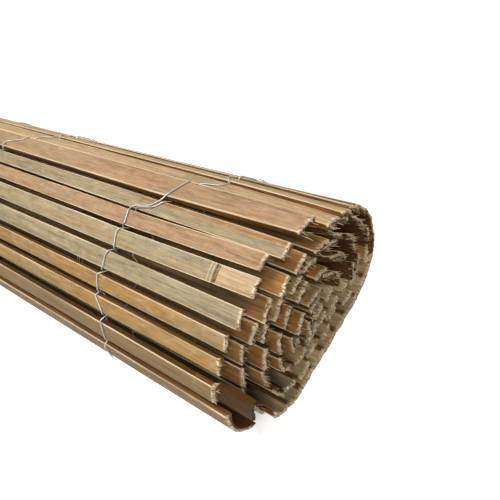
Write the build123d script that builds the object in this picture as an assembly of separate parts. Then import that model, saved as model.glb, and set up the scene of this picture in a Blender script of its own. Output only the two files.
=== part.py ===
from build123d import *
import copy
import math
import os
import random

os.makedirs("parts", exist_ok=True)

# A bamboo slat fence, rolled up and lying on its side. X runs along the roll, Z is up.
# All sizes are in millimetres.

# The fence
slat_length = 914.0
slat_width = 14.8
width_share = 0.11
slat_thickness = 5.0
slat_gap = 2.7
gap_share = 0.18
skin_crown = 0.7
skin_flat = 0.44
ragged_end = 3.5
end_skew = 0.08

# The binding wires
wire = 1.1
wire_play = 0.2
lane_gap = 0.5
wire_rows = 4
row_inset = 89.0
crossed_slats = 30
sharp_bend = math.cos(math.radians(15))

# The roll
roll_width = 185.0
roll_height = 136.0
middle_height = 46.0
turns = 5.4
core_radius = 8.5
layer_rise = 7.8
free_edge_angle = math.radians(181.5)
top_roundness = 1.82
base_roundness = 2.7
base_spread = 1.11

# The top of the roll sags along its length; this far behind the middle it has the height above
top_sag = 20.0
sag_from = 143.0
sag_sharpness = 3

# How far the roll is out of square: its ends lean with height, and the rows of wire with width
end_lean = 0.04
row_lean = 0.36

# The last slats before the free edge, which have slipped back along the roll, and their share of the width
edge_shares = [1.05, 1.23, 0.93, 0.88, 1.03, 1.00, 0.83, 0.82, 1.55, 1.22]
slat_slip = 22.0
wire_slip = 20.0
edge_reach = 16.0
sunk_slat = 7
sunk_depth = 2.0

# The bamboo's own joints, which stand up as low rings across the skin
ring_width = 4.0
ring_height = 0.8
ring_every = 3
near_ring_slat = 5
near_ring_inset = 31.0
ring_scatter = 50.0

# Slats that are pieces of their own; those further in are grouped by turn
single_slats = 45
inmost_group = 5

slat_seed = 11
skin_depth = slat_thickness + wire_play + wire
wire_clear = wire_play + wire / 2.0
first_row = slat_length / 2.0 - row_inset
row_spacing = 2.0 * first_row / (wire_rows - 1)


def turn_share(angle):
    return 1.0 - (free_edge_angle - angle) / (2.0 * math.pi * turns)


right_share = turn_share(0.0)
top_share = turn_share(math.radians(90))
half_width = (roll_width - 2.0 * skin_depth - (1.0 - right_share) * core_radius) / (1.0 + right_share)
half_top = roll_height - middle_height - skin_depth - (1.0 - top_share) * core_radius
half_top = half_top / top_share
half_base = base_spread * middle_height


def rounded(value, roundness):
    return math.copysign(abs(value) ** (2.0 / roundness), value)


def roll_point(angle):
    # A point on the slats' inner faces: an oval spiral whose turns lie flat where the weight rests
    share = turn_share(angle)
    across = math.cos(angle)
    up = math.sin(angle)
    roundness = top_roundness if up > 0 else base_roundness
    half_height = half_top if up > 0 else half_base
    y = share * half_width * rounded(across, roundness) + (1.0 - share) * core_radius * across
    z = share * half_height * rounded(up, roundness) + (1.0 - share) * core_radius * up
    layer = round((math.radians(-90) - angle) / (2.0 * math.pi))
    return Vector(0, y, max(middle_height + z, skin_depth + layer_rise * layer))


def walk_in(angle, start, length):
    # The angle further in along the spiral that lies a straight length from a start point
    step = 0.004
    while (roll_point(angle) - start).length < length:
        angle -= step
    near = angle + step
    far = angle
    for _ in range(30):
        middle = (near + far) / 2.0
        if (roll_point(middle) - start).length < length:
            near = middle
        else:
            far = middle
    return far


def slip_share(position):
    # How much of the slip a place has, counted in slats from the free edge
    return max(0.0, 1.0 - position / (len(edge_shares) - 1.0))


class Slat:
    # One slat's place in the roll: its inner face starts at corner and runs along, and out is its skin side.
    # Its own draws keep its irregularities when a size changes.
    def __init__(self, index, draw, angle, start, end):
        self.index = index
        self.draw = draw
        self.turn = 1 + int((free_edge_angle - angle) / (2.0 * math.pi))
        self.width = (end - start).length
        self.along = (end - start).normalized()
        self.out = Vector(0, -self.along.Z, self.along.Y)
        self.corner = start
        if index == sunk_slat:
            self.corner = start - self.out * sunk_depth
        middle = self.point(self.width / 2.0, slat_thickness / 2.0)
        rise = max(0.0, (middle.Z - middle_height) / (roll_height - middle_height))
        self.sag = top_sag / slat_length * rise ** sag_sharpness

    def at(self, x):
        # The slat as it lies at a place along the roll
        there = copy.copy(self)
        there.corner = self.corner - Vector(0, 0, self.sag * (x + sag_from))
        return there

    def point(self, along, out):
        return self.corner + self.along * along + self.out * out


def lay_slats():
    slats = []
    angle = free_edge_angle
    last_angle = free_edge_angle - 2.0 * math.pi * turns
    while True:
        index = len(slats)
        draw = random.Random(1000 * slat_seed + index)
        width = slat_width * (1.0 + draw.uniform(-1, 1) * width_share)
        if index < len(edge_shares):
            width = slat_width * edge_shares[index]
        start = roll_point(angle)
        end_angle = walk_in(angle, start, width)
        if end_angle < last_angle:
            return slats
        end = roll_point(end_angle)
        slats.append(Slat(index, draw, angle, start, end))
        angle = walk_in(end_angle, end, slat_gap * (1.0 + draw.uniform(-1, 1) * gap_share))


def flat_face(*points):
    return Face(Wire.make_polygon(points))


def quad(a, b, c, d):
    # One face, or two where the four corners are not level
    if abs((b - a).cross(c - a).dot(d - a)) < 1e-7:
        return [flat_face(a, b, c, d)]
    return [flat_face(a, b, c), flat_face(a, c, d)]


def skin_outline(slat, base, rise):
    # The slat's section: a flat split face below and a crowned skin above
    side = slat.width * (1.0 - skin_flat) / 2.0
    edge = slat_thickness - skin_crown + rise
    top = slat_thickness + rise
    corners = [(0, base), (slat.width, base), (slat.width, edge)]
    corners += [(slat.width - side, top), (side, top), (0, edge)]
    return corners


def make_slat(slat):
    # A split length of cane whose two ends are cut a little askew, with a ring on some of those in sight
    draw = slat.draw
    centre = slat.point(slat.width / 2.0, slat_thickness / 2.0)
    shift = end_lean * (centre.Z - middle_height) - slat_slip * slip_share(slat.index)
    ragged = ragged_end if slat.turn > 1 else ragged_end / 3.0
    front = shift + slat_length / 2.0 + draw.uniform(-1, 1) * ragged
    back = shift - slat_length / 2.0 + draw.uniform(-1, 1) * ragged
    if slat.index == 0:
        front += edge_reach
    profile = flat_face(*[slat.at(0.0).point(along, out) for along, out in skin_outline(slat, 0.0, 0.0)])
    run = Vector(1, 0, -slat.sag).normalized()
    solid = extrude(profile, amount=2.0 * slat_length, dir=run).moved(Location(run * -slat_length))
    for end, keep in ((front, Keep.BOTTOM), (back, Keep.TOP)):
        skew = draw.uniform(-1, 1) * end_skew
        middle = slat.at(end).point(slat.width / 2.0, slat_thickness / 2.0)
        cut = Plane(origin=middle + Vector(end, 0, 0), z_dir=Vector(1, 0, 0) - slat.along * skew)
        solid = split(solid, bisect_by=cut, keep=keep)
    if slat.index < single_slats and slat.index % ring_every == near_ring_slat % ring_every:
        bay = draw.randrange(wire_rows - 1) + 0.5
        place = first_row - bay * row_spacing + draw.uniform(-1, 1) * ring_scatter
        if slat.index == near_ring_slat:
            place = front - near_ring_inset
        solid = solid + make_ring(slat.at(place), place)
    return solid


def make_ring(slat, place):
    ring = [slat.point(along, out) for along, out in skin_outline(slat, 0.5 * slat_thickness, ring_height)]
    ring = [corner + Vector(place - ring_width / 2.0, 0, 0) for corner in ring]
    return extrude(flat_face(*ring), amount=ring_width, dir=(1, 0, 0))


class Gap:
    # The space between two neighbouring slats, where the two wires of a row meet
    def __init__(self, index, before, after):
        self.index = index
        self.before = before
        self.after = after
        neighbours = [slat for slat in (before, after) if slat is not None]
        if before is None:
            self.middle = after.point(-slat_gap / 2.0, 0)
        elif after is None:
            self.middle = before.point(before.width + slat_gap / 2.0, 0)
        else:
            self.middle = (before.point(before.width, 0) + after.point(0, 0)) / 2.0
        self.along = sum((slat.along for slat in neighbours), Vector(0, 0, 0)).normalized()
        self.out = Vector(0, -self.along.Z, self.along.Y)
        outer = [self.height(slat, slat_thickness + wire_clear) for slat in neighbours]
        inner = [self.height(slat, -wire_clear) for slat in neighbours]
        self.outer = self.middle + self.out * max(outer)
        self.inner = self.middle + self.out * min(inner)
        self.bend = self.out.dot(neighbours[0].out)

    def height(self, slat, level):
        # How far out from the gap's middle a wire is when it lies at this level on the slat
        return (level - (self.middle - slat.corner).dot(slat.out)) / self.out.dot(slat.out)


def is_outside(strand, index):
    # The two wires of a row change sides at each gap; deep in the roll each keeps to its side
    if index >= crossed_slats:
        index = 0
    return (index + strand) % 2 == 0


def wire_place(row_place, index):
    # Where a row of wire crosses the middle of the roll, which changes near the free edge
    return row_place - wire_slip * min(1.0, 2.0 * slip_share(index - 0.5))


def lay_gaps(row_place):
    # The gaps between the slats as they are where a row of wire passes
    gaps = []
    for index, pair in enumerate(zip([None] + slats, slats + [None])):
        beside = pair[1] if pair[0] is None else pair[0]
        x = wire_place(row_place, index) + row_lean * beside.corner.Y
        before, after = [slat and slat.at(x) for slat in pair]
        gaps.append(Gap(index, before, after))
    return gaps


def make_wire(gaps, row_place, strand):
    # A square wire that follows the slats, built station by station along the roll
    half = wire / 2.0
    lane = (strand - 0.5) * (wire + lane_gap)
    stations = []
    for gap in gaps:
        place = wire_place(row_place, gap.index) + lane
        before = is_outside(strand, gap.index - 1)
        after = is_outside(strand, gap.index)
        if gap.index == 0:
            before = after
        if gap.index == len(gaps) - 1:
            after = before
        if before != after:
            lean = (gap.out + gap.along) * half if before else (gap.out - gap.along) * half
            turns_at = [(gap.outer, lean), (gap.inner, lean)]
            if after:
                turns_at.reverse()
        elif after and gap.bend < sharp_bend:
            level = slat_thickness + wire_clear
            turns_at = [(gap.before.point(gap.before.width, level), gap.before.out * half)]
            turns_at.append((gap.after.point(0, level), gap.after.out * half))
        else:
            turns_at = [(gap.outer if after else gap.inner, gap.out * (half / gap.bend))]
        stations += [(centre + lean, centre - lean, place) for centre, lean in turns_at]
    rings = []
    for left, right, place in stations:
        left = Vector(place + row_lean * left.Y, left.Y, max(left.Z, 0.0))
        right = Vector(place + row_lean * right.Y, right.Y, right.Z)
        thick = Vector(half, 0, 0)
        rings.append([left - thick, left + thick, right + thick, right - thick])
    faces = [flat_face(*rings[0]), flat_face(*rings[-1])]
    for near, far in zip(rings, rings[1:]):
        for i in range(4):
            j = (i + 1) % 4
            faces += quad(near[i], near[j], far[j], far[i])
    return Solid(Shell(faces))


slats = lay_slats()
pieces = {}
for slat in slats:
    if slat.index < single_slats:
        pieces[f"slat_{slat.index + 1:02d}"] = [make_slat(slat)]
    else:
        name = f"slats_turn_{min(slat.turn, inmost_group)}"
        pieces.setdefault(name, []).append(make_slat(slat))

for row in range(wire_rows):
    row_place = first_row - row * row_spacing
    gaps = lay_gaps(row_place)
    for strand in range(2):
        name = f"row_{row + 1}_wire_{'ab'[strand]}"
        pieces[name] = [make_wire(gaps, row_place, strand)]

# The finished roll stands with the middle of its base on the origin
boxes = [solid.bounding_box() for solids in pieces.values() for solid in solids]
middle_x = (min(box.min.X for box in boxes) + max(box.max.X for box in boxes)) / 2.0
middle_y = (min(box.min.Y for box in boxes) + max(box.max.Y for box in boxes)) / 2.0
lowest = min(box.min.Z for box in boxes)
to_origin = Location((-middle_x, -middle_y, -lowest))
for name, solids in pieces.items():
    placed = [solid.moved(to_origin) for solid in solids]
    export_step(placed[0] if len(placed) == 1 else Compound(placed), f"parts/{name}.step")
print(len(slats), "slats in", len(pieces), "nodes")
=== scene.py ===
import math
import random

import bpy
from mathutils import Matrix, Vector, kdtree


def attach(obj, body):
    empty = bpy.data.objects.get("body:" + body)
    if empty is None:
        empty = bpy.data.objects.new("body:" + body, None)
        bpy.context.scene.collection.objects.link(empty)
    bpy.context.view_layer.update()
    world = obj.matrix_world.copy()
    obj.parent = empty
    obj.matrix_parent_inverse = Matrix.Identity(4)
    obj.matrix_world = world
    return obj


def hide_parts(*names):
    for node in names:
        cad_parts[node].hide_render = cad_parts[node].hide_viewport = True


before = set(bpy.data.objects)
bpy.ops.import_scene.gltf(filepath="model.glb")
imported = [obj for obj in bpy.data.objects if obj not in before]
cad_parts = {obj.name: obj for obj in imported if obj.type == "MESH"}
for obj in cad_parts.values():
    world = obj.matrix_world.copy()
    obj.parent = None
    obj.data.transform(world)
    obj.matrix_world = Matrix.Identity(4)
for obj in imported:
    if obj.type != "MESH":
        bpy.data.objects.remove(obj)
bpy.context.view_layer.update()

print("frame loaded:", len(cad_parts), "nodes")

millimetre = 0.001
samePlace = 0.00001  # points closer than this are one


def clearSelection():
    if bpy.context.object and bpy.context.object.mode != "OBJECT":
        bpy.ops.object.mode_set(mode="OBJECT")
    bpy.ops.object.select_all(action="DESELECT")


def pick(*objects):  # selects these alone, the first one active
    clearSelection()
    for thing in objects:
        thing.select_set(True)
    bpy.context.view_layer.objects.active = objects[0]


def editEdges(thing, wanted):  # edit mode with some edges selected: wanted is asked with both ends of each
    pick(thing)
    bpy.ops.object.mode_set(mode="EDIT")
    bpy.ops.mesh.select_mode(type="EDGE")
    bpy.ops.mesh.select_all(action="DESELECT")
    bpy.ops.object.mode_set(mode="OBJECT")
    verts = thing.data.vertices
    for edge in thing.data.edges:
        edge.select = wanted(verts[edge.vertices[0]].co, verts[edge.vertices[1]].co)
    bpy.ops.object.mode_set(mode="EDIT")


def divideEdges(thing, wanted, parts):
    editEdges(thing, wanted)
    bpy.ops.mesh.subdivide(number_cuts=parts - 1)
    bpy.ops.object.mode_set(mode="OBJECT")


def bisectAt(thing, points, normal):
    pick(thing)
    bpy.ops.object.mode_set(mode="EDIT")
    for point in points:
        bpy.ops.mesh.select_all(action="SELECT")
        bpy.ops.mesh.bisect(plane_co=point, plane_no=normal)
    bpy.ops.object.mode_set(mode="OBJECT")


def ownCopy(master, name):
    copy = master.copy()
    copy.data = master.data.copy()
    copy.name = copy.data.name = name
    bpy.context.collection.objects.link(copy)
    return copy


def joined(pieces):
    pick(*pieces)
    if len(pieces) > 1:
        bpy.ops.object.join()
    return bpy.context.object


def applyAll(thing):
    pick(thing)
    for modifier in list(thing.modifiers):
        bpy.ops.object.modifier_apply(modifier=modifier.name)


def addColours(thing, name, values):
    thing.data.attributes.new(name, "FLOAT_COLOR", "POINT").data.foreach_set("color", values)


def clamped(value):
    return min(1.0, max(0.0, value))


def between(table, value):  # reads a table of pairs, and gives None outside it
    for (before, low), (after, high) in zip(table, table[1:]):
        if before <= value <= after:
            share = (value - before) / (after - before)
            return low * (1.0 - share) + high * share
    return None


# Where the slats lie, read from the frame: each solid gives its inner corner, directions and ends
reading = {
    "lengthwise": 0.5,  # faces that look along the roll more than this are ends
    "endDepth": 0.008,  # points this close to the furthest one belong to that end
    "ringRise": 0.0003,  # points this far above the skin belong to a ring
}


def nodesCalled(start):
    return sorted(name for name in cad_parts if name.startswith(start))


def readPlaces(node):
    copy = ownCopy(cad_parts[node], "reading")
    copy.parent = None
    copy.matrix_world = Matrix.Identity(4)
    pick(copy)
    bpy.ops.object.mode_set(mode="EDIT")
    bpy.ops.mesh.select_all(action="SELECT")
    bpy.ops.mesh.remove_doubles(threshold=samePlace)
    bpy.ops.mesh.separate(type="LOOSE")
    bpy.ops.object.mode_set(mode="OBJECT")
    solids = list(bpy.context.selected_objects)
    found = [readSolid(solid, node) for solid in solids]
    for solid in solids:
        mesh = solid.data
        bpy.data.objects.remove(solid)
        bpy.data.meshes.remove(mesh)
    return found


def readSolid(solid, node):
    faces = {}
    for face in solid.data.polygons:
        if abs(face.normal.x) < reading["lengthwise"]:
            key = (round(face.normal.y, 2), round(face.normal.z, 2))
            area, normal = faces.get(key, (0.0, face.normal.copy()))
            faces[key] = (area + face.area, normal)
    split = max(faces.values(), key=lambda pair: pair[0])[1]  # the split face is the largest
    out = -Vector((0.0, split.y, split.z)).normalized()
    along = Vector((0.0, out.z, -out.y))
    points = [vert.co.copy() for vert in solid.data.vertices]
    ends = []
    for sign in (1.0, -1.0):
        reach = max(sign * point.x for point in points)
        atEnd = [point for point in points if sign * point.x > reach - reading["endDepth"]]
        left = min(atEnd, key=lambda point: point.dot(along) + point.dot(out))
        right = max(atEnd, key=lambda point: point.dot(along) - point.dot(out))
        ends.append((left, right, max((point - left).dot(out) for point in atEnd)))
    (left, right, thick), (backLeft, backRight, _) = ends
    drift = (left - backLeft) / (left.x - backLeft.x)  # the slats at the top slope a little
    place = {
        "node": node, "out": out, "along": along,
        "width": (right - left).dot(along), "thick": thick,
        "base": left - drift * left.x, "drift": drift - Vector((1.0, 0.0, 0.0)),
        "front": (left.x, right.x), "back": (backLeft.x, backRight.x),
    }
    raised = [point.x for point in points
              if (point - slatPoint(place, point.x, 0.0, thick)).dot(out) > reading["ringRise"]]
    place["ring"] = sum(raised) / len(raised) if raised else None
    return place


def slatPoint(place, x, share, height):  # share of the width, height above the split face
    across = place["along"] * (share * place["width"]) + place["out"] * height
    return Vector((x, 0.0, 0.0)) + place["base"] + place["drift"] * x + across


def slatShares(place, point):  # the other way round: shares of the width and of the thickness
    offset = point - slatPoint(place, point.x, 0.0, 0.0)
    return offset.dot(place["along"]) / place["width"], offset.dot(place["out"]) / place["thick"]


groups = nodesCalled("slats_turn_")
places = [place for node in nodesCalled("slat_") for place in readPlaces(node)]
loose = [place for node in groups for place in readPlaces(node)]
while loose:  # follow the spiral inwards from the last slat that has a node of its own
    last = slatPoint(places[-1], 0.0, 1.0, 0.0)
    following = min(loose, key=lambda place: (slatPoint(place, 0.0, 0.0, 0.0) - last).length)
    loose.remove(following)
    places.append(following)

# The worn roll has settled further towards its seen end
settling = {
    "drop": 0.010,  # fall for each metre along the roll
    "from": -0.134,  # where along the roll it starts; behind it the slats rise
    "perTurn": 0.12,  # each turn further in follows less
    "kept": 9,  # the slats before this one stay as they are
    # share of the fall by the way a slat faces, in degrees from the far side
    "shares": (
        (0, 0.0), (15, 0.65), (30, 1.1), (45, 1.4), (60, 1.45), (75, 1.15), (90, 0.9),
        (115, 0.35), (140, 0.0)),
}

turned = 0.0
facing = 180.0  # the free edge faces the near side
for i, place in enumerate(places):
    place["index"] = i
    angle = math.degrees(math.atan2(place["out"].z, place["out"].y))
    turned += (facing - angle + 180.0) % 360.0 - 180.0
    facing = angle
    place["turn"] = turned / 360.0
    share = (between(settling["shares"], angle) or 0.0) * (1.0 - settling["perTurn"] * turned / 360.0)
    if i >= settling["kept"]:
        place["drift"].z -= settling["drop"] * share
        place["base"].z += settling["drop"] * share * settling["from"]
print("slats read:", len(places))


# Bamboo
bamboo = {
    "tan": (0.47, 0.325, 0.18),
    "honey": (0.43, 0.25, 0.085),
    "rose": (0.46, 0.30, 0.185),
    "grey": (0.33, 0.295, 0.20),
    "cream": (0.66, 0.51, 0.32),
    "brown": (0.26, 0.19, 0.105),
    "orange": (0.40, 0.155, 0.032),  # the sheltered skin further in
    "split": (0.165, 0.072, 0.018),  # the rough split sides and inner face
    # deep: the dark of the split's fibre, and the painted shade of the crevices inside the roll
    "deep": (0.035, 0.014, 0.003),
    "endPale": (0.80, 0.64, 0.42),
    "endDark": (0.12, 0.062, 0.022),
    # arris: painted highlight of the lit edges; also the loose fibres' own pale tint
    "arris": (0.78, 0.64, 0.43),
    "stain": (0.085, 0.06, 0.035),
    # crack: near-black painted shade at the bottom of grooves, in the crack and the ring's sunk loops
    "crack": (0.018, 0.009, 0.004),
}

bambooLook = {
    # patterns: how fine they are along, across and through, their detail, roughness and shift
    "grain": {
        "fine": ((26.0, 2300.0, 2300.0), 4.0, 0.62, (0.0, 0.0, 0.0)),
        "middle": ((8.0, 520.0, 520.0), 3.0, 0.6, (3.1, 0.7, 5.2)),
        "broad": ((9.0, 120.0, 120.0), 3.0, 0.55, (7.7, 2.9, 1.3)),
        "patch": ((13.0, 75.0, 75.0), 4.0, 0.6, (1.9, 8.3, 4.4)),
        "speck": ((210.0, 900.0, 900.0), 2.0, 0.5, (5.5, 1.1, 9.7)),
        "worn": ((18.0, 240.0, 240.0), 5.0, 0.7, (8.1, 3.7, 0.4)),
        "mottle": ((95.0, 230.0, 230.0), 5.0, 0.72, (4.6, 0.2, 7.1)),
        "pores": ((260.0, 800.0, 800.0), 3.0, 0.6, (2.2, 6.1, 3.3)),
    },
    # layers over a slat's tint: pattern, its start and end, strength at both, colour, by weather or not
    "skin": (
        ("patch", 0.52, 0.66, 0.0, 0.75, "grey", True),
        ("broad", 0.54, 0.72, 0.0, 0.5, "rose", True),
        ("middle", 0.36, 0.62, 0.62, 0.0, "honey", False),
        ("fine", 0.34, 0.60, 0.42, 0.0, "split", False),
        ("fine", 0.55, 0.72, 0.0, 0.4, "cream", True),
        ("speck", 0.66, 0.76, 0.0, 0.5, "stain", False),
        ("worn", 0.50, 0.76, 0.0, 0.75, "stain", False),
        ("mottle", 0.52, 0.72, 0.0, 0.42, "stain", True),
        ("mottle", 0.45, 0.30, 0.0, 0.38, "cream", True),
    ),
    # the other mixes: where they start and end, and what they give at both
    "splitFibre": (0.36, 0.64, 0.0, 1.0), "splitWarm": (0.52, 0.74, 0.0, 0.6),
    # the next mix darkens the split sides as painted shade on the sheltered slats
    "splitShade": (0.0, 1.0, 0.35, 1.0),
    # the arris mixes: the painted highlight along the skin's edges, stronger and weaker in patches
    "arris": (0.45, 1.0, 0.0, 1.0), "arrisHighlightPatches": (0.36, 0.58, 0.2, 0.9),
    "pores": (0.36, 0.54, 0.0, 1.0), "endStain": (0.50, 0.70, 0.0, 0.6), "end": (0.35, 0.85, 0.0, 1.0),
    "roughness": (0.3, 0.7, 0.72, 0.5), "specular": 0.14,
    "relief": {"fine": 0.6, "middle": 0.7}, "bump": 0.5, "bumpDepth": 0.0006,
}


def newMaterial(name):
    material = bpy.data.materials.new(name)
    material.use_nodes = True
    tree = material.node_tree
    return material, tree, tree.nodes["Principled BSDF"]


def addNode(tree, kind, **settings):  # a name that starts with in_ sets that input
    node = tree.nodes.new(kind)
    for key, value in settings.items():
        if key.startswith("in_"):
            node.inputs[key[3:]].default_value = value
        else:
            setattr(node, key, value)
    return node


def connect(tree, source, target):
    tree.links.new(source, target)


def feed(tree, sockets, values):  # each socket gets a link, a colour or a number
    for socket, value in zip(sockets, values):
        if isinstance(value, bpy.types.NodeSocket):
            connect(tree, value, socket)
        elif isinstance(value, tuple):
            socket.default_value = (*value, 1.0)
        else:
            socket.default_value = value


def streaks(tree, coords, stretch, detail, rough, shift=(0.0, 0.0, 0.0)):
    mapping = addNode(tree, "ShaderNodeMapping", in_Scale=stretch, in_Location=shift)
    connect(tree, coords, mapping.inputs["Vector"])
    texture = addNode(tree, "ShaderNodeTexNoise", in_Scale=1.0, in_Detail=detail, in_Roughness=rough)
    connect(tree, mapping.outputs["Vector"], texture.inputs["Vector"])
    return texture.outputs["Fac"]


def remap(tree, value, low, high, toLow=0.0, toHigh=1.0):
    node = addNode(tree, "ShaderNodeMapRange")
    names = ("Value", "From Min", "From Max", "To Min", "To Max")
    feed(tree, [node.inputs[name] for name in names], (value, low, high, toLow, toHigh))
    return node.outputs["Result"]


def mixColour(tree, factor, first, second):
    node = addNode(tree, "ShaderNodeMix", data_type="RGBA")
    feed(tree, (node.inputs[0], node.inputs[6], node.inputs[7]), (factor, first, second))
    return node.outputs[2]


def math2(tree, operation, first, second=0.0):
    node = addNode(tree, "ShaderNodeMath", operation=operation)
    feed(tree, node.inputs, (first, second))
    return node.outputs[0]


def bambooMaterial():
    look = bambooLook
    material, tree, shader = newMaterial("weatheredBamboo")
    coords = addNode(tree, "ShaderNodeTexCoord").outputs["Object"]
    surface = addNode(tree, "ShaderNodeAttribute", attribute_name="surface")
    marks = addNode(tree, "ShaderNodeSeparateColor")
    connect(tree, surface.outputs["Color"], marks.inputs[0])
    skin, ending, arris = marks.outputs[0], marks.outputs[1], marks.outputs[2]
    tone = addNode(tree, "ShaderNodeAttribute", attribute_name="tone")
    # the tone's alpha gives both weathering and light: low on the sheltered slats, whose split sides get
    # painted shade
    tint, weatherAndLight = tone.outputs["Color"], tone.outputs["Alpha"]
    grain = {name: streaks(tree, coords, *pattern) for name, pattern in look["grain"].items()}

    def mark(pattern, name):
        return remap(tree, pattern, *look[name])

    # skin: the slat's own tint, greyed and warmed in patches, then streaked and stained
    colour = tint
    for pattern, start, end, low, high, name, byWeather in look["skin"]:
        amount = remap(tree, grain[pattern], start, end, low, high)
        if byWeather:
            amount = math2(tree, "MULTIPLY", amount, weatherAndLight)
        colour = mixColour(tree, amount, colour, bamboo[name])
    # split sides and inner face: warm, fibrous and darker; on the sheltered slats inside the roll darker
    # still, as painted shade of the crevices
    splitColour = mixColour(tree, mark(grain["fine"], "splitFibre"), bamboo["deep"], bamboo["split"])
    splitColour = mixColour(tree, mark(grain["middle"], "splitWarm"), splitColour, bamboo["orange"])
    splitColour = mixColour(tree, mark(weatherAndLight, "splitShade"), bamboo["deep"], splitColour)
    colour = mixColour(tree, skin, splitColour, colour)
    # painted highlight along the lit edges of the skin
    edgeHighlight = math2(tree, "MULTIPLY", mark(arris, "arris"), mark(grain["broad"], "arrisHighlightPatches"))
    colour = mixColour(tree, edgeHighlight, colour, bamboo["arris"])
    # cut ends: a pale rim of hard fibre with dark pores
    endColour = mixColour(tree, mark(grain["pores"], "pores"), bamboo["endDark"], bamboo["endPale"])
    endColour = mixColour(tree, mark(grain["broad"], "endStain"), endColour, bamboo["split"])
    colour = mixColour(tree, mark(ending, "end"), colour, endColour)
    connect(tree, colour, shader.inputs["Base Color"])

    shader.inputs["Specular IOR Level"].default_value = look["specular"]
    connect(tree, mark(grain["fine"], "roughness"), shader.inputs["Roughness"])
    relief = [math2(tree, "MULTIPLY", grain[name], share) for name, share in look["relief"].items()]
    bump = addNode(tree, "ShaderNodeBump", in_Strength=look["bump"], in_Distance=look["bumpDepth"])
    connect(tree, math2(tree, "ADD", *relief), bump.inputs["Height"])
    connect(tree, bump.outputs["Normal"], shader.inputs["Normal"])
    return material


bambooFinish = bambooMaterial()


# One slat blank, closed and gridded, with finer rows where its ends are broken off
blankSize = {
    "length": 0.914, "width": 0.0148, "thick": 0.005,
    "endZone": 0.045, "endRows": 18, "middleRows": 46, "across": 12, "deep": 4,
    "arris": 0.0004, "arrisSteps": 2, "arrisProfile": 0.6, "arrisBand": 0.0006,
    # from, to and over are shares of half the thickness, and for the sides of half the width
    "crown": 0.0007, "hollow": 0.0019, "hollowTo": 0.6,
    "skinFrom": 0.8, "arrisFrom": 0.75, "sidesFrom": 0.93,
    "paleEnd": 0.0036, "paleFrom": -0.45, "paleOver": 0.8,  # the pale rim of the ends
    "fray": 0.012, "frayPower": 1.6,
    "shortest": 0.0002, "straight": 1.01, "rowShortest": 0.0005,  # which edges count as running one way
}


def modelBlank():
    size = blankSize
    half = Vector((size["length"], size["width"], size["thick"])) / 2.0
    zone = half.x - size["endZone"]
    clearSelection()
    bpy.ops.mesh.primitive_cube_add(size=1.0, scale=half * 2.0)
    blank = bpy.context.object
    bpy.ops.object.transform_apply(location=False, rotation=False, scale=True)

    def runs(a, b, axis):
        step = abs(b[axis] - a[axis])
        return step > size["shortest"] and (b - a).length < step * size["straight"]

    def inEnds(a, b):
        return abs((a.x + b.x) / 2) > zone

    def atCorner(point):
        return abs(point.y) > half.y - samePlace and abs(point.z) > half.z - samePlace

    divideEdges(blank, lambda a, b: runs(a, b, 0), 3)
    for vert in blank.data.vertices:  # the two new loops mark off the end zones
        if abs(vert.co.x) < half.x - samePlace:
            vert.co.x = math.copysign(zone, vert.co.x)
    divideEdges(blank, lambda a, b: runs(a, b, 0) and inEnds(a, b), size["endRows"])
    divideEdges(blank, lambda a, b: runs(a, b, 0) and not inEnds(a, b), size["middleRows"])
    divideEdges(blank, lambda a, b: runs(a, b, 1), size["across"])
    divideEdges(blank, lambda a, b: runs(a, b, 2), size["deep"])
    editEdges(blank, lambda a, b: atCorner(a) and atCorner(b) and abs(a.x - b.x) > size["rowShortest"])
    bpy.ops.mesh.bevel(offset=size["arris"], segments=size["arrisSteps"], profile=size["arrisProfile"])
    bpy.ops.mesh.select_all(action="SELECT")
    bpy.ops.mesh.normals_make_consistent(inside=False)
    bpy.ops.object.mode_set(mode="OBJECT")
    markBlank(blank, half)
    blank.data.materials.append(bambooFinish)
    blank.name = blank.data.name = "slatBlank"
    return blank


def markBlank(blank, half):  # marks for the colours, weights for the wear, then the crown and the hollow
    size = blankSize
    surface = []
    for name in ("fray", "sides", "skin"):
        blank.vertex_groups.new(name=name)
    for vert in blank.data.vertices:
        x, y, z = vert.co
        acrossShare = abs(y) / half.y
        upShare = z / half.z
        toEnd = half.x - abs(x)
        onSkin = upShare > size["skinFrom"]
        # the arris band carries the painted highlight of the lit edges
        onArris = upShare > size["arrisFrom"] and acrossShare > 1.0 - size["arrisBand"] / half.y
        rim = clamped((upShare - size["paleFrom"]) / size["paleOver"])
        paleEnd = max(0.0, 1.0 - toEnd / size["paleEnd"]) * rim
        surface += [float(onSkin), paleEnd, float(onArris), 1.0]
        if toEnd < size["fray"]:
            weight = (1.0 - toEnd / size["fray"]) ** size["frayPower"]
            blank.vertex_groups["fray"].add([vert.index], weight, "REPLACE")
        if acrossShare > size["sidesFrom"]:
            blank.vertex_groups["sides"].add([vert.index], 1.0, "REPLACE")
        elif onSkin:
            blank.vertex_groups["skin"].add([vert.index], 1.0, "REPLACE")
        if upShare > 0.0:  # the crown of the cane's skin
            vert.co.z -= size["crown"] * upShare * acrossShare ** 2
        if upShare < size["hollowTo"]:  # the hollow of the split cane
            depth = (size["hollowTo"] - upShare) / (1.0 + size["hollowTo"])
            vert.co.z += size["hollow"] * max(0.0, 1.0 - acrossShare ** 2) * depth
    addColours(blank, "surface", surface)
    addColours(blank, "tone", [1.0] * len(surface))


blank = modelBlank()
print("slat blank:", len(blank.data.polygons), "faces")


# Loose fibres at the broken ends: one splinter, then tufts of copies
fibres = {
    "length": 0.0045, "radius": 0.00026, "tip": 0.35, "sides": 5, "parts": 3, "ahead": 0.3, "curl": 0.0008,
    "mark": (1.0, 0.0, 0.55, 1.0),  # skin with half the painted highlight of a lit edge
    "tufts": 6, "perTuft": 5, "seed": 300, "turn": 6.28,
    "lengths": (0.45, 1.25), "widths": (0.6, 1.3), "height": 0.8,
    "sideTilt": 0.22, "upTilt": 0.16,
    "across": 0.46, "through": 0.4,  # how far from the middle, in widths and thicknesses of a slat
}


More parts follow.
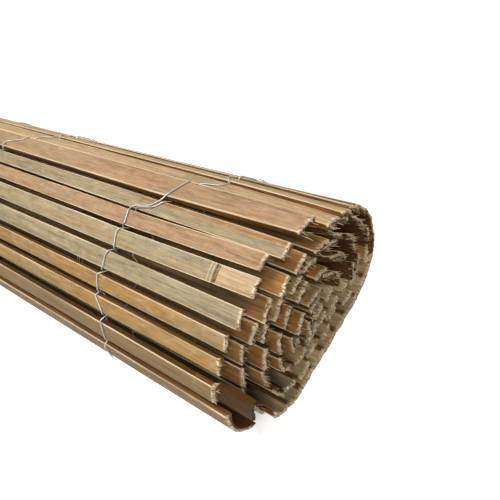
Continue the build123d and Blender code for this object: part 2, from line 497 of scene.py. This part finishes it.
def modelSplinter():
    length, radius = fibres["length"], fibres["radius"]
    clearSelection()
    bpy.ops.mesh.primitive_cone_add(
        vertices=fibres["sides"], radius1=radius, radius2=radius * fibres["tip"], depth=length,
        location=(length * fibres["ahead"], 0.0, 0.0), rotation=(0.0, math.pi / 2.0, 0.0))
    splinter = bpy.context.object
    bpy.ops.object.transform_apply(location=True, rotation=True, scale=True)
    divideEdges(splinter, lambda a, b: abs(a.x - b.x) > length / 2.0, fibres["parts"])
    for vert in splinter.data.vertices:  # a slight curl
        vert.co.z += fibres["curl"] * (max(0.0, vert.co.x) / length) ** 2
    addColours(splinter, "surface", fibres["mark"] * len(splinter.data.vertices))
    addColours(splinter, "tone", [1.0] * 4 * len(splinter.data.vertices))
    splinter.data.materials.append(bambooFinish)
    splinter.name = "splinter"
    return splinter


def modelTuft(splinter, number):
    draw = random.Random(fibres["seed"] + number)
    across, through = fibres["across"], fibres["through"]
    copies = []
    for i in range(fibres["perTuft"]):
        copy = ownCopy(splinter, f"tuft{number}fibre{i}")
        size = draw.uniform(*fibres["lengths"])
        turn = Matrix.Rotation(draw.uniform(0, fibres["turn"]), 4, "X")
        sideTilt = Matrix.Rotation(draw.gauss(0, fibres["sideTilt"]), 4, "Z")
        tilt = sideTilt @ Matrix.Rotation(draw.gauss(0, fibres["upTilt"]), 4, "Y")
        sideways = draw.uniform(-across, across) * blankSize["width"]
        place = Matrix.Translation((0.0, sideways, draw.uniform(-through, through) * blankSize["thick"]))
        scale = Matrix.Diagonal((size, draw.uniform(*fibres["widths"]), fibres["height"], 1.0))
        copy.data.transform(place @ tilt @ turn @ scale)
        copies.append(copy)
    tuft = joined(copies)
    tuft.name = tuft.data.name = f"tuft{number}"
    return tuft


splinter = modelSplinter()
tufts = [modelTuft(splinter, number) for number in range(fibres["tufts"])]
print("fibre tufts:", len(tufts))


# Each slat: a copy of the blank at its place, frayed, with its own tint and its ring
slatLook = {
    "seed": 7000,
    "outer": 24,  # the slats before this one lie outermost
    "endPlane": 0.4663,  # the seen end of the roll
    # how far single slats run past the front of their solids, or stop short of it
    "ownReach": {
        0: -0.002, 1: 0.026, 6: -0.006, 8: -0.004, 25: -0.006, 26: -0.008, 27: -0.010, 28: -0.010,
        29: -0.010, 30: -0.006, 48: -0.004, 49: -0.005, 50: -0.005, 51: -0.004,
    },
    "baseFacing": -0.45, "baseBack": 0.0018,  # the inner base stops short by this for each turn
    # the outer base ends nearer to one line, by shares of its own end and of the line, and is cut cleaner
    "evened": range(15, 25), "evenPast": 0.002, "evenShares": (0.3, 0.7), "evenFray": 0.5,
    # towards the ends the slats of the far side and the base spread and close up
    "closed": range(12, 24), "closeFrom": 0.07, "spread": 0.19,
    "cornerSpread": {12: 0.26, 13: 0.34, 14: 0.34, 15: 0.3, 16: 0.28, 17: 0.24},
    # edges that have moved at the front: how far back it fades out, then lower and upper edge in widths
    "edgeMoves": (
        (0.12, {5: (0.22, 0.18), 6: (0.24, 0.22), 8: (0.16, 0.0)}),
        (0.9, {1: (0.0, -0.26), 2: (0.10, -0.10), 3: (0.14, -0.10), 4: (0.10, -0.08), 5: (0.10, -0.02),
               6: (0.04, 0.0)}),
    ),
    # the free edge is broader and curls under the roll
    "broader": 1.1, "curl": 0.013, "curlFrom": 0.3, "curlOver": 1.4, "curlPower": 1.8,
    "lifted": {0: 0.004, 1: 0.002},
    # one slat is broken off: its skin ends in a pale rim, and a bare strip runs on below, darkened as
    # painted shade
    "broken": {
        "slat": 1, "step": 0.003, "rim": 0.003, "bare": 0.0005,
        "rimMark": (1.0, 0.9, 1.0, 1.0), "bareMark": (0.0, 0.0, 0.0, 1.0),
    },
    # at the seen end the top slats bend down, and inner ones on the far side lean outwards
    "bend": 0.004, "bendFrom": 0.11, "bendHeights": (0.082, 0.115),
    "lean": 0.0035, "leanFrom": 0.05, "leanFacing": 0.3, "leanTurns": 1.6,
}

# noise that moves the surface: its size and depth, the way it pushes, how far, and the weights it follows
wear = {
    "wander": (0.075, 2, "NORMAL", 0.0012, "sides"),
    "ripple": (0.03, 2, "NORMAL", 0.0006, "skin"),
    "frayFine": (0.0013, 1, "X", 0.0024, "fray"),
    "frayBroad": (0.0046, 2, "X", 0.0036, "fray"),
}

# the ring of a cane's joint: places along the slat and rise at each, in millimetres
ring = {
    "profile": (
        (-5.5, 0.0), (-3.6, 0.9), (-2.4, 0.5), (-1.0, 1.0), (0.2, 0.6), (0.8, -0.8), (2.2, -0.8),
        (3.0, 0.1), (4.5, 0.0)),
    "onLoop": 0.00005, "from": 0.55, "foot": 0.5, "steepness": 3.0, "paleFrom": 0.7,
}

# a split in the skin: shares of the width at its start and at the front, places across and depth at each
crack = {
    "slat": 8, "shares": (0.94, 0.84), "length": 0.097, "opensOver": 0.02,
    "profile": ((-1.1, 0.0), (-0.55, 1.6), (0.15, 1.6), (0.6, -0.35)),
    # from this depth in millimetres the crack's loops get painted shade
    "onLoop": 0.00003, "from": 0.6, "shadeFrom": 1.0,
}
highlightMark = (1.0, 0.0, 1.0, 1.0)  # skin with the painted highlight of a lit edge


def noiseField(name, size, depth):
    texture = bpy.data.textures.new(name, "CLOUDS")
    texture.noise_scale = size
    texture.noise_depth = depth
    texture.noise_basis = "IMPROVED_PERLIN"
    return texture


fields = {name: noiseField(name, size, depth) for name, (size, depth, _, _, _) in wear.items()}


def displace(piece, texture, direction, strength, group):
    modifier = piece.modifiers.new("shape", "DISPLACE")
    modifier.texture = texture
    modifier.texture_coords = "LOCAL"
    modifier.direction = direction
    modifier.strength = strength
    modifier.mid_level = 0.5
    modifier.vertex_group = group


def cutRing(piece, place):  # loops across the slat, raised and sunk like a cane's joint; the sunk loops get painted shade, the highest a painted highlight
    loops = [(place["ring"] + shift * millimetre, 0, 0) for shift, _ in ring["profile"]]
    bisectAt(piece, loops, (1, 0, 0))
    surface = piece.data.attributes["surface"].data
    tone = piece.data.attributes["tone"].data
    for vert in piece.data.vertices:
        _, height = slatShares(place, vert.co)
        if height < ring["from"]:
            continue
        for shift, rise in ring["profile"]:
            if abs(vert.co.x - place["ring"] - shift * millimetre) < ring["onLoop"]:
                full = min(1.0, (height - ring["foot"]) * ring["steepness"])
                vert.co += place["out"] * (rise * millimetre * full)
                if rise < 0:
                    tone[vert.index].color = (*bamboo["crack"], 1.0)
                elif rise > ring["paleFrom"]:
                    surface[vert.index].color = highlightMark


def cutCrack(piece, place):  # a groove along the skin that opens towards the front end; its deep loops get painted shade, its raised lip a painted highlight
    front = max(place["front"])
    start = slatPoint(place, front - crack["length"], crack["shares"][0], place["thick"])
    end = slatPoint(place, front, crack["shares"][1], place["thick"])
    side = (end - start).cross(place["out"]).normalized()
    if side.dot(place["along"]) < 0.0:
        side = -side
    bisectAt(piece, [start + side * (shift * millimetre) for shift, _ in crack["profile"]], side)
    surface = piece.data.attributes["surface"].data
    tone = piece.data.attributes["tone"].data
    for vert in piece.data.vertices:
        _, height = slatShares(place, vert.co)
        opened = min(1.0, (vert.co.x - start.x) / crack["opensOver"])
        if height < crack["from"] or opened <= 0.0:
            continue
        for shift, depth in crack["profile"]:
            if abs((vert.co - start).dot(side) - shift * millimetre) < crack["onLoop"]:
                vert.co -= place["out"] * (depth * millimetre * opened)
                if depth > crack["shadeFrom"]:
                    tone[vert.index].color = (*bamboo["crack"], 1.0)
                elif shift > 0.0:
                    surface[vert.index].color = highlightMark


def settleFront(place):  # where this slat ends, set against its solid
    look = slatLook
    if place["index"] in look["evened"]:
        line = look["endPlane"] + look["evenPast"]
        own, common = look["evenShares"]
        place["front"] = tuple(own * x + common * line for x in place["front"])
    place["reach"] = look["ownReach"].get(place["index"], 0.0)
    if place["out"].z < look["baseFacing"] and place["turn"] > 1.0:
        place["reach"] = -look["baseBack"] * place["turn"]


def shapeSlat(piece, place):  # takes the blank's vertices to the slat's place
    look, size, index = slatLook, blankSize, place["index"]
    half = size["length"] / 2.0
    zone = half - size["endZone"]
    for vert in piece.data.vertices:
        share = vert.co.y / size["width"] + 0.5
        if index == 0:
            share -= look["broader"] * (1.0 - share)
        height = (vert.co.z / size["thick"] + 0.5) * place["thick"]
        sides = (place["front"], place["back"])
        front, back = [left * (1.0 - share) + right * share for left, right in sides]
        front, back = front + place["reach"], back - min(0.0, place["reach"])
        if index in look["closed"]:
            toEnd = min(half - abs(vert.co.x), look["closeFrom"])
            spread = look["cornerSpread"].get(index, look["spread"])
            share += (share - 0.5) * spread * (1.0 - toEnd / look["closeFrom"])
        if vert.co.x > zone:
            x = front - (half - vert.co.x)
        elif vert.co.x < -zone:
            x = back + (half + vert.co.x)
        else:
            ahead = (vert.co.x + zone) / (2.0 * zone)
            x = (back + size["endZone"]) * (1.0 - ahead) + (front - size["endZone"]) * ahead
        for run, moves in look["edgeMoves"]:
            low, high = moves.get(index, (0.0, 0.0))
            near = clamped(1.0 - (place["front"][0] - x) / run)
            share += near * (low * (1.0 - share) + high * share)
        if index == look["broken"]["slat"] and x > place["front"][0]:
            height -= look["broken"]["step"]
        if index == 0:
            under = max(0.0, look["curlFrom"] - share) / look["curlOver"]
            height -= look["curl"] * under ** look["curlPower"]
        height += look["lifted"].get(index, 0.0)
        vert.co = slatPoint(place, x, share, height)


def bendFront(piece, place):
    look = slatLook
    front = max(place["front"])
    low, high = look["bendHeights"]
    weight = clamped((slatPoint(place, front, 0.5, place["thick"] / 2.0).z - low) / (high - low))
    if place["index"] < settling["kept"]:
        weight = 0.0
    leaning = place["turn"] > 1.0 and place["out"].y > look["leanFacing"]
    for vert in piece.data.vertices:
        near = 1.0 - (front - vert.co.x) / look["bendFrom"]
        if near > 0.0:
            vert.co.z -= weight * look["bend"] * near ** 2
        near = 1.0 - (front - vert.co.x) / look["leanFrom"]
        if near > 0.0 and leaning:
            vert.co += place["out"] * (look["lean"] * min(look["leanTurns"], place["turn"]) * near ** 2)


def makeSlat(place):
    index = place["index"]
    draw = random.Random(slatLook["seed"] + index)
    piece = ownCopy(blank, f"bambooSlat{index + 1:02d}")
    settleFront(place)
    shapeSlat(piece, place)
    ragged = slatLook["evenFray"] if index in slatLook["evened"] else 1.0
    for name, (_, _, direction, strength, group) in wear.items():
        displace(piece, fields[name], direction, strength * (ragged if group == "fray" else 1.0), group)
    applyAll(piece)
    tintSlat(piece, place, draw)
    if place["ring"] is not None:
        cutRing(piece, place)
    if index == crack["slat"]:
        cutCrack(piece, place)
    addTufts(piece, place, draw)
    bendFront(piece, place)
    return piece


# How each slat is coloured
slatTones = {
    # tints of the slats in sight, counted inwards from the free edge, and how light each one is
    "seen": {
        0: ("brown", 0.8), 1: ("brown", 1.0), 2: ("honey", 1.18), 3: ("honey", 1.0), 4: ("grey", 1.15),
        5: ("grey", 1.12), 6: ("rose", 0.9), 7: ("grey", 1.0), 8: ("rose", 0.95), 9: ("tan", 1.4),
        10: ("tan", 1.3), 11: ("grey", 1.4),
    },
    # the others: tints to choose from, and how light
    "open": (("tan", "cream", "grey", "cream"), (1.1, 1.4)),
    # the sheltered slats inside the roll: orange, their low levels painted shade
    "sheltered": (("orange", "orange", "honey"), (0.55, 0.95)),
    # the sheltered slats' share of weathering and of light: the rest is painted shade on their split sides
    "lightest": 0.88, "shelteredWeatherAndLight": 0.15,
    "ringNear": 0.06, "ringPast": 0.002,  # past a ring near the front the skin is paler
    "covered": {"slat": 7, "from": 0.34, "share": 0.68},  # orange where the next slat lies over it: partly stain, partly painted shade
    # painted shade: the slats from this one on darken away from both ends, inside the roll
    "shadeFrom": 14, "paintedShade": 0.92, "litDepth": 0.005, "shadeOver": 0.028,
    # the base seen from inside: pale, partly as painted light where the roll shades it, with dark joints
    # and pale ends
    "paleFacing": -0.3, "paleSkin": 0.85, "jointFrom": 0.44, "paleEnd": 0.004,
}


def slatTint(place, draw):
    index = place["index"]
    if index in slatTones["seen"]:
        name, level = slatTones["seen"][index]
    else:
        isOpen = place["out"].z < slatLook["baseFacing"] or index < slatLook["outer"]
        names, levels = slatTones["open" if isOpen else "sheltered"]
        name, level = draw.choice(names), draw.uniform(*levels)
    return tuple(min(slatTones["lightest"], channel * level) for channel in bamboo[name])


def tintSlat(piece, place, draw):
    tones, index = slatTones, place["index"]
    colour = slatTint(place, draw)
    pale = place["out"].z < tones["paleFacing"]
    # sheltered slats inside the roll: less weathering, and painted shade on their split sides
    weatherAndLight = 1.0 if pale or index < slatLook["outer"] else tones["shelteredWeatherAndLight"]
    broken, covered = slatLook["broken"], tones["covered"]
    surface = piece.data.attributes["surface"].data
    tone = piece.data.attributes["tone"].data
    front, back = place["front"][0], place["back"][0]
    nearRing = place["ring"] is not None and place["ring"] > front - tones["ringNear"]
    for vert in piece.data.vertices:
        x = vert.co.x
        own = bamboo["cream"] if nearRing and x > place["ring"] + tones["ringPast"] else colour
        if index == broken["slat"] and x - front > -broken["rim"]:
            bare = x - front > broken["bare"]
            surface[vert.index].color = broken["bareMark" if bare else "rimMark"]
            weatherAndLight = 0.0 if bare else 1.0  # also holds for the vertices that follow; the bare strip gets no weathering and the full painted shade of the split colour
        # under the next slat's edge: orange, partly stain and partly painted shade
        if index == covered["slat"] and x > covered["from"]:
            own = bamboo["orange"] if slatShares(place, vert.co)[0] > covered["share"] else colour
        # painted shade inside the roll, fading out near both lit ends
        if index >= tones["shadeFrom"]:
            inside = min(clamped((front - tones["litDepth"] - x) / tones["shadeOver"]),
                         clamped((x - back - tones["litDepth"]) / tones["shadeOver"]))
            own = tuple(channel * (1.0 - tones["paintedShade"] * inside) for channel in colour)
        # the base: its inner faces take the pale skin colour, partly painted light in the roll's shade
        if pale:
            skin, ending, arris, _ = surface[vert.index].color
            joint = abs(slatShares(place, vert.co)[0] - 0.5) > tones["jointFrom"] and skin < 0.5
            past = x - max(place["front"]) - place["reach"]
            ending = max(ending, clamped(1.0 + past / tones["paleEnd"]))
            surface[vert.index].color = (0.0 if joint else max(skin, tones["paleSkin"]), ending, arris, 1.0)
        tone[vert.index].color = (*own, weatherAndLight)


# Tufts on the ends: how many at the front, which way such slats face, how long and thick, how light
fringe = {
    "outer": 1, "inner": 3, "farSide": 4, "innerFacing": -0.3, "farFacing": 0.2, "sunk": 0.001,
    "wisps": {8: 2.0, 9: 2.0}, "farWisp": 1.15, "levels": (0.8, 1.1),
}


def addTufts(piece, place, draw):
    index, out = place["index"], place["out"]
    inner = index >= slatLook["outer"] and out.z > fringe["innerFacing"]
    farSide = inner and out.y > fringe["farFacing"]
    fronts = fringe["farSide" if farSide else "inner" if inner else "outer"]
    if index == 0 or index in slatLook["evened"]:  # the curled edge and the outer base have none
        fronts = 0
    moves = [table.get(index, (0.0, 0.0)) for _, table in slatLook["edgeMoves"]]
    low, high = [sum(move[edge] for move in moves) for edge in (0, 1)]
    height = place["thick"] / 2.0 + slatLook["lifted"].get(index, 0.0)
    wisp = fringe["wisps"].get(index, fringe["farWisp"] if farSide else 1.0)
    added = [piece]
    for sign, ends in [(1.0, place["front"])] * fronts + [(-1.0, place["back"])]:
        tuft = ownCopy(draw.choice(tufts), "tuftCopy")
        end = (ends[0] + ends[1]) / 2.0 + sign * (min(0.0, place["reach"]) - fringe["sunk"])
        share = 0.5 + (low + high) / 2.0 if sign > 0.0 else 0.5
        middle = slatPoint(place, end, share, height)
        width = place["width"] / blankSize["width"] * (1.0 + high - low if sign > 0.0 else 1.0)
        axes = (Vector((sign, 0, 0)), place["along"] * draw.choice((-1, 1)), out)
        turn = Matrix(axes).transposed().to_4x4()
        tuft.data.transform(Matrix.Translation(middle) @ turn @ Matrix.Diagonal((wisp, width, wisp, 1.0)))
        tone = tuft.data.attributes["tone"].data
        pale = tuple(channel * draw.uniform(*fringe["levels"]) for channel in bamboo["arris"])
        for vert in tuft.data.vertices:
            tone[vert.index].color = (*pale, 1.0)
        added.append(tuft)
    joined(added)


smoothBelow = math.radians(34)
slatPieces = {}
for place in places:
    slatPieces.setdefault(place["node"], []).append(makeSlat(place))
for node, made in slatPieces.items():
    piece = joined(made)
    if node in groups:
        piece.name = piece.data.name = "bambooTurn" + node[-1]
    bpy.ops.object.shade_smooth_by_angle(angle=smoothBelow)
    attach(piece, "root")
    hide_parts(node)
for spare in [blank, splinter] + tufts:
    bpy.data.objects.remove(spare)
print("slats made:", len(places), "in", len(slatPieces), "pieces")


# The binding wires: two to a row, each over one slat and under the next
binding = {
    "radius": 0.00052, "clear": 0.0007, "seed": 40,
    "crossed": 30,  # further in, each wire keeps to its own side
    "shares": (0.03, 0.14, 0.36, 0.64, 0.86, 0.97), "innerShares": (0.04, 0.5, 0.96),
    "dip": 0.0002, "dipFrom": 0.4,  # over a slat's edges the wire lies a little lower
    "jog": 0.004, "jogSizes": (0.3, 0.5, 1.0), "jogSpeed": 4.0,  # steps along the roll from slat to slat
    "neighbours": 4,  # points of the solid wire that give its place
    # the row at the seen end: slats from the free edge, and millimetres behind the end plane
    "nearRow": (
        (0.0, 124), (1.5, 125), (1.95, 126), (2.1, 123), (2.95, 131), (3.95, 134), (4.05, 129), (4.75, 130),
        (5.05, 127), (5.8, 131), (6.15, 127), (7.1, 131), (7.25, 117), (7.95, 111), (8.05, 109), (8.9, 107),
        (9.1, 105), (9.35, 91), (10.0, 90), (10.1, 97), (11.0, 97), (12.0, 88), (14.0, 69)),
    "apart": 0.0016, "bothOver": 7, "bothApart": 0.0042,  # there both wires pass over one slat
    "steel": (0.46, 0.435, 0.39), "rust": (0.13, 0.075, 0.04), "metallic": 0.55,
    "spots": ((420.0, 420.0, 420.0), 3.0, 0.6), "spotRange": (0.55, 0.72, 0.0, 0.6),
    "mottle": ((1500.0, 1500.0, 1500.0), 2.0, 0.5), "roughness": (0.3, 0.7, 0.38, 0.6),
}


def wireMaterial():
    material, tree, shader = newMaterial("dullGalvanisedWire")
    coords = addNode(tree, "ShaderNodeTexCoord").outputs["Object"]
    spots = remap(tree, streaks(tree, coords, *binding["spots"]), *binding["spotRange"])
    mottle = streaks(tree, coords, *binding["mottle"])
    connect(tree, mixColour(tree, spots, binding["steel"], binding["rust"]), shader.inputs["Base Color"])
    connect(tree, remap(tree, mottle, *binding["roughness"]), shader.inputs["Roughness"])
    shader.inputs["Metallic"].default_value = binding["metallic"]
    return material


wireFinish = wireMaterial()


def laneAt(tree, xs, point):  # where the frame's wire passes along the roll near a point of its section
    near = tree.find_n(Vector((0.0, point.y, point.z)), binding["neighbours"])
    return sum(xs[index] for _, index, _ in near) / len(near)


def wireRoute(node, strand, draw):
    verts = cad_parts[node].data.vertices
    xs = [vert.co.x for vert in verts]
    tree = kdtree.KDTree(len(xs))
    for i, vert in enumerate(verts):
        tree.insert(Vector((0.0, vert.co.y, vert.co.z)), i)
    tree.balance()
    middle = sum(xs) / len(xs)
    nearRow = node[4] == "1"  # row_1 is the one at the seen end
    route = []
    jog = 0.0
    for place in places:
        order = place["index"]
        crossed = order < binding["crossed"]
        bothOver = nearRow and order == binding["bothOver"]
        outside = bothOver or ((order if crossed else 0) + strand) % 2 == 0
        height = place["thick"] + binding["clear"] if outside else -binding["clear"]
        height += slatLook["lifted"].get(order, 0.0)
        nextJog = 0.0
        if crossed:
            nextJog = draw.choice(binding["jogSizes"]) * draw.uniform(-1, 1) * binding["jog"]
        for share in binding["shares" if crossed else "innerShares"]:
            dips = outside and abs(share - 0.5) > binding["dipFrom"]
            level = height - (binding["dip"] if dips else 0.0)
            lane = laneAt(tree, xs, slatPoint(place, middle, share, level))
            x = lane + jog + (nextJog - jog) * min(1.0, share * binding["jogSpeed"])
            behind = between(binding["nearRow"], order + share) if nearRow else None
            if behind is not None:
                apart = binding["bothApart" if bothOver else "apart"]
                x = slatLook["endPlane"] - millimetre * behind + (strand - 0.5) * apart
            route.append(slatPoint(place, x, share, level))
        jog = nextJog
    return route


def makeWire(node, strand):
    route = wireRoute(node, strand, random.Random(binding["seed"] + ord(node[4])))
    curve = bpy.data.curves.new("route", "CURVE")
    curve.dimensions = "3D"
    spline = curve.splines.new("NURBS")
    spline.points.add(len(route) - 1)
    for point, target in zip(spline.points, route):
        point.co = (*target, 1.0)
    spline.order_u = 3
    spline.use_endpoint_u = True
    spline.resolution_u = 2
    curve.bevel_depth = binding["radius"]
    curve.bevel_resolution = 2
    curve.use_fill_caps = True
    piece = bpy.data.objects.new("bindingWire" + node[4] + node[-1].upper(), curve)
    bpy.context.collection.objects.link(piece)
    pick(piece)
    bpy.ops.object.convert(target="MESH")
    piece = bpy.context.object
    bpy.ops.object.shade_smooth()
    piece.data.materials.clear()
    piece.data.materials.append(wireFinish)
    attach(piece, "root")
    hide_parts(node)


wireNodes = nodesCalled("row_")
for node in wireNodes:
    makeWire(node, "ab".index(node[-1]))
print("wires made:", len(wireNodes))


# Floor, light and camera
studio = {
    "floorSize": 12.0, "floorDrop": 0.0004, "floorTone": 0.55, "floorRoughness": 0.9, "floorGlow": 0.88,
    "world": 0.07,
    # distances from the middle at which the floor starts to glow and glows in full; nearer in, the floor
    # without glow is a painted contact shadow
    "covered": {"X": (0.43, 0.465), "Y": (0.066, 0.084)},
    # place, target, size and power
    "lamps": {
        "overhead": ((0.1, -0.02, 1.3), (0.2, 0.0, 0.05), 0.8, 16.0),
        "front": ((1.05, -0.6, 1.05), (0.42, 0.0, 0.06), 0.55, 10.0),
    },
    "sensor": 36.0, "lens": 33.12, "clipStart": 0.01, "cameraPlace": (0.59306, -0.13716, 0.3158),
    # the camera's right, up and backward directions
    "cameraTurn": ((0.7926, 0.5479, -0.2676), (-0.2671, 0.7066, 0.6553), (0.5481, -0.4479, 0.7064)),
}


def seenDirectly(tree):  # rays from the camera and from gloss
    path = addNode(tree, "ShaderNodeLightPath")
    return path, math2(tree, "MAXIMUM", path.outputs["Is Camera Ray"], path.outputs["Is Glossy Ray"])


def makeFloor():
    clearSelection()
    bpy.ops.mesh.primitive_plane_add(size=studio["floorSize"], location=(0.0, 0.0, -studio["floorDrop"]))
    floor = bpy.context.object
    floor.name = "floor"
    material, tree, shader = newMaterial("paleFloor")
    shader.inputs["Base Color"].default_value = (studio["floorTone"],) * 3 + (1.0,)
    shader.inputs["Roughness"].default_value = studio["floorRoughness"]
    shader.inputs["Specular IOR Level"].default_value = 0.0
    strength = math2(tree, "MULTIPLY", seenDirectly(tree)[1], studio["floorGlow"])
    axes = addNode(tree, "ShaderNodeSeparateXYZ")  # no glow where the roll lies on the floor: a painted contact shadow
    connect(tree, addNode(tree, "ShaderNodeTexCoord").outputs["Object"], axes.inputs[0])
    past = [remap(tree, math2(tree, "ABSOLUTE", axes.outputs[axis]), *span)
            for axis, span in studio["covered"].items()]
    strength = math2(tree, "MULTIPLY", strength, math2(tree, "MAXIMUM", *past))
    glow = addNode(tree, "ShaderNodeEmission")
    connect(tree, strength, glow.inputs["Strength"])
    both = addNode(tree, "ShaderNodeAddShader")
    connect(tree, shader.outputs[0], both.inputs[0])
    connect(tree, glow.outputs[0], both.inputs[1])
    connect(tree, both.outputs[0], tree.nodes["Material Output"].inputs["Surface"])
    floor.data.materials.append(material)


def makeWorld():
    world = bpy.data.worlds.new("studio")
    bpy.context.scene.world = world
    world.use_nodes = True
    tree = world.node_tree
    background = tree.nodes["Background"]
    background.inputs["Color"].default_value = (1.0, 1.0, 1.0, 1.0)
    path, rays = seenDirectly(tree)
    rays = math2(tree, "MAXIMUM", rays, path.outputs["Is Transmission Ray"])
    connect(tree, remap(tree, rays, 0.0, 1.0, studio["world"], 1.0), background.inputs["Strength"])


def areaLamp(name, place, target, size, power):
    data = bpy.data.lights.new(name, "AREA")
    data.shape = "DISK"
    data.size = size
    data.energy = power
    lamp = bpy.data.objects.new(name, data)
    bpy.context.collection.objects.link(lamp)
    lamp.location = place
    lamp.rotation_euler = (Vector(target) - Vector(place)).to_track_quat("-Z", "Y").to_euler()


def makeCamera():
    data = bpy.data.cameras.new("photoCamera")
    data.sensor_width = studio["sensor"]
    data.lens = studio["lens"]
    data.clip_start = studio["clipStart"]
    camera = bpy.data.objects.new("photoCamera", data)
    bpy.context.collection.objects.link(camera)
    turn = Matrix(studio["cameraTurn"]).transposed()
    camera.matrix_world = Matrix.Translation(studio["cameraPlace"]) @ turn.to_4x4()
    bpy.context.scene.camera = camera


makeFloor()
makeWorld()
for name, settings in studio["lamps"].items():
    areaLamp(name, *settings)
makeCamera()
bpy.context.scene.view_settings.view_transform = "Standard"
print("stage ready")
